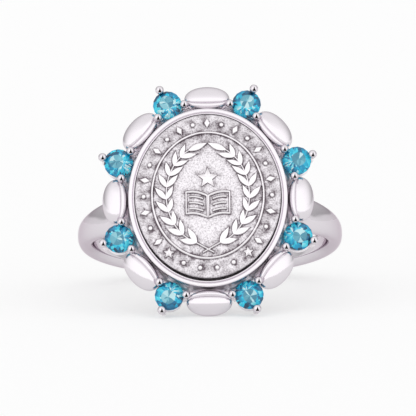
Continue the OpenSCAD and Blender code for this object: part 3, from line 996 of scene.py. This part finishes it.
# The edge is rounded over a share of the half width on top, and over another one below
edge_share = 0.018
foot_share = 0.004
foot_depth = plate_foot - edge_z
plate = profile(
    "plate",
    [(-1, foot_depth), (-foot_share, foot_depth), (0, foot_depth + plate_edge)]
    + arc((-edge_share, -plate_edge), (edge_share, plate_edge), 0, 90, 5)
    + [(-edge_share - (1 - edge_share) * i / ground_rings, 0) for i in range(1, ground_rings + 1)],
)
grow(plate, carried_tree, stretch=(med_w / 2, med_l / 2, 1), steps=ground_steps, metal=antique_and_shade)
grow(plate, dome_tree, metal=antique_and_shade)
grow(plate, ground_tree, relief=relief, metal=antique_and_shade)
plate.name = "medallion_plate"
plate.data.transform(Matrix.Translation((0, med_shift, 0)))
relief.data.transform(Matrix.Translation((0, med_shift, 0)))
seat(plate, "medallion")
seat(relief, "medallion")


# Stones: eight round brilliants of blue cubic zirconia, cut and polished, each held by
# the beads of three prongs.
# What the crown and the table look like, by how much light a facet throws back: painted reflections
crown_reflection_tones = [
    (0.08, "003F5E"), (0.28, "0079A6"), (0.45, "00A9D6"),
    (0.62, "06D0F2"), (0.8, "58E8FA"), (0.96, "E0FEFF"),
]
table_reflection_tones = [(0.1, "3A8AA4"), (0.4, "5BA9BF"), (0.62, "7CC8D8"), (0.86, "CCF4F9")]
# The table's light, in shares of the stone's half width: how far it reaches, how far out its
# middle lies and how soft its edge is, and then its cells
table_share = 0.5
table_out = 0.14
table_edge = 0.04
table_cells = 7
table_rings = 1.3
table_seed = 5.3
# The crown's streaks spread from a place this far in, towards the medallion
streaks_in = 0.28
streaks = 26
streak_rings = 4.2
streak_seed = 3.7


def blue_stone(number, place, turn):
    """Clear blue cubic zirconia, with painted reflections. What each facet throws back differs from the
    next one's, and is painted as cells round the stone's middle, brighter towards the head's middle."""
    gem, shader, on_ring = new_finish(f"blue_zirconia_painted_reflections_{number}")
    stand = lying @ Matrix.Translation((place[0], place[1], girdle_z)) @ Matrix.Rotation(turn, 4, "Z")
    stone_r = stone_d / 2 * MM
    own = add(
        shader, "ShaderNodeMapping",
        {
            "Vector": on_ring, "Location": stand.to_translation(),
            "Rotation": stand.to_3x3().normalized().to_euler(), "Scale": (stone_r, stone_r, stone_r),
        },
        vector_type="TEXTURE",
    )
    level = add(shader, "ShaderNodeVectorMath", {0: own, 1: (1, 1, 0)}, operation="MULTIPLY")
    far = add(shader, "ShaderNodeVectorMath", {0: level}, operation="LENGTH").outputs["Value"]

    def wedges(middle, count, rings, seed):
        """Cells in wedges round a middle on the x axis: a chance from 0 to 1 for each, and how
        far from the middle it lies."""
        away = add(shader, "ShaderNodeVectorMath", {0: level, 1: (middle, 0, 0)}, operation="SUBTRACT")
        reach = add(shader, "ShaderNodeVectorMath", {0: away}, operation="LENGTH").outputs["Value"]
        spot = add(shader, "ShaderNodeSeparateXYZ", {0: away})
        turn = add(
            shader, "ShaderNodeMath", {0: spot.outputs["Y"], 1: spot.outputs["X"]}, operation="ARCTAN2"
        )
        sector = add(shader, "ShaderNodeMath", {0: turn, 1: count / (2 * pi)}, operation="MULTIPLY")
        deep = add(shader, "ShaderNodeMath", {0: reach, 1: rings}, operation="MULTIPLY")
        cell = add(shader, "ShaderNodeCombineXYZ", {"X": sector, "Y": deep, "Z": seed})
        cells = add(shader, "ShaderNodeTexVoronoi", {"Vector": cell, "Scale": 1.0})
        return add(shader, "ShaderNodeSeparateXYZ", {0: cells.outputs["Color"]}).outputs["X"], reach

    # Painted streaks of reflected light are lighter near the medallion, and painted a little darker at the
    # girdle
    chance, reach = wedges(-streaks_in, streaks, streak_rings, number * streak_seed)
    glow = add(shader, "ShaderNodeMapRange", {0: reach, 1: 0.1, 2: 1.15, 3: 0.3, 4: 0.0})
    light = add(shader, "ShaderNodeMath", {0: chance, 1: 0.8, 2: glow}, operation="MULTIPLY_ADD")
    rim_dark = add(shader, "ShaderNodeMapRange", {0: far, 1: 0.82, 2: 1.0, 3: 0.0, 4: 0.12})
    light = add(shader, "ShaderNodeMath", {0: light, 1: rim_dark}, operation="SUBTRACT")
    glint, off_table = wedges(table_out, table_cells, table_rings, number * table_seed)
    in_table = add(
        shader, "ShaderNodeMapRange",
        {0: off_table, 1: table_share - table_edge, 2: table_share, 3: 1.0, 4: 0.0},
    )
    crown_painted_light, table_painted_light = [
        add(shader, "ShaderNodeValToRGB", {0: value}, stops=[(at, srgb(code)) for at, code in tones])
        for value, tones in ((light, crown_reflection_tones), (glint, table_reflection_tones))
    ]
    # The stone's blue with its painted reflections: crown streaks, and the table's painted light
    blue_with_painted_reflections = add(shader, "ShaderNodeMix", {0: in_table, 6: crown_painted_light, 7: table_painted_light}, data_type="RGBA")
    skin = add(
        shader, "ShaderNodeBsdfPrincipled",
        {
            "Base Color": blue_with_painted_reflections.outputs[2], "Roughness": 0.0, "IOR": 1.8, "Specular IOR Level": 0.25,
            "Transmission Weight": 0.3,
        },
    )
    add(shader, "ShaderNodeOutputMaterial", {"Surface": skin})
    return gem


for number, (place, turn, size) in enumerate(stone_places, 1):
    stone = frame["nodes"][f"stone_{number}"]
    stone.data.materials.clear()
    stone.data.materials.append(blue_stone(number, place, turn))


# Table and light: a pale matt table in a white studio tent, and a camera with a long lens.
# The tent is bright in front and overhead, and grey behind, over a low pale strip.
# The table isn't laid as the ring's pieces are, so this is in metres
table_half = 2
table = blank(
    "table", [(x * table_half, y * table_half, 0) for x, y in ((-1, -1), (1, -1), (1, 1), (-1, 1))],
    edges=[], faces=[(0, 1, 2, 3)],
)
# White acrylic, lit from below, which leaves only faint shadows on it
matt, shader = new_finish("lit_acrylic_table")[:2]
skin = add(
    shader, "ShaderNodeBsdfPrincipled",
    {
        "Base Color": srgb("C2C2C2"), "Roughness": 0.9, "Emission Color": srgb("FFFFFF"),
        "Emission Strength": 0.41,
    },
)
add(shader, "ShaderNodeOutputMaterial", {"Surface": skin})
table.data.materials.append(matt)

tent = bpy.data.worlds.new("studio_tent")
tent.use_nodes = True
sky = tent.node_tree
sky.nodes.clear()
ray = add(sky, "ShaderNodeSeparateXYZ", {0: add(sky, "ShaderNodeTexCoord").outputs["Generated"]})
height = add(sky, "ShaderNodeMapRange", {0: ray.outputs["Z"], 1: -1.0, 2: 1.0, 3: 0.0, 4: 1.0})
# The tent's brightness in front and behind, by height from -1 underfoot to 1 overhead
front_light = [(-0.02, 0.9), (0.0, 1.4), (0.7, 1.4), (1, 1.05)]
back_light = [(0.0, 0.9), (0.08, 0.85), (0.12, 0.5), (0.35, 0.64), (0.75, 0.85), (1, 1.05)]
front, back = [
    add(
        sky, "ShaderNodeValToRGB", {0: height},
        stops=[((high + 1) / 2, (tone, tone, tone, 1)) for high, tone in lights],
    )
    for lights in (front_light, back_light)
]
to_front = add(
    sky, "ShaderNodeMapRange", {0: ray.outputs["Y"], 1: 0.45, 2: -0.8}, interpolation_type="SMOOTHSTEP"
)
wall = add(sky, "ShaderNodeMix", {0: to_front, 6: back, 7: front}, data_type="RGBA")
light = add(sky, "ShaderNodeBackground", {"Color": wall.outputs[2], "Strength": 1.0})
add(sky, "ShaderNodeOutputWorld", {"Surface": light})
bpy.context.scene.world = tent
bpy.context.scene.view_settings.view_transform = "Standard"

# The camera looks up at the head's face from a little below, 300 mm away
image_size = 416
middle_px = (210, 235.5)
focal_px = 4002
camera_away = 300
below_face = radians(13.4)
aside = radians(-0.55)
roll = radians(0.7)
upwards = Matrix.Rotation(below_face, 4, "X")
aim = Matrix.Rotation(-aside, 4, "Y") @ upwards @ Matrix.Rotation(-roll, 4, "Z")
lens = bpy.data.cameras.new("camera")
lens.lens = focal_px * lens.sensor_width / image_size
lens.shift_x = (image_size / 2 - middle_px[0]) / image_size
lens.shift_y = (middle_px[1] - image_size / 2) / image_size
lens.clip_start = 0.01
camera = bpy.data.objects.new("camera", lens)
bpy.context.scene.collection.objects.link(camera)
back_off = Matrix.Translation((0, 0, camera_away))
stand = lying @ aim @ back_off
camera.matrix_world = Matrix.Translation(stand.to_translation()) @ stand.to_3x3().normalized().to_4x4()
bpy.context.scene.camera = camera
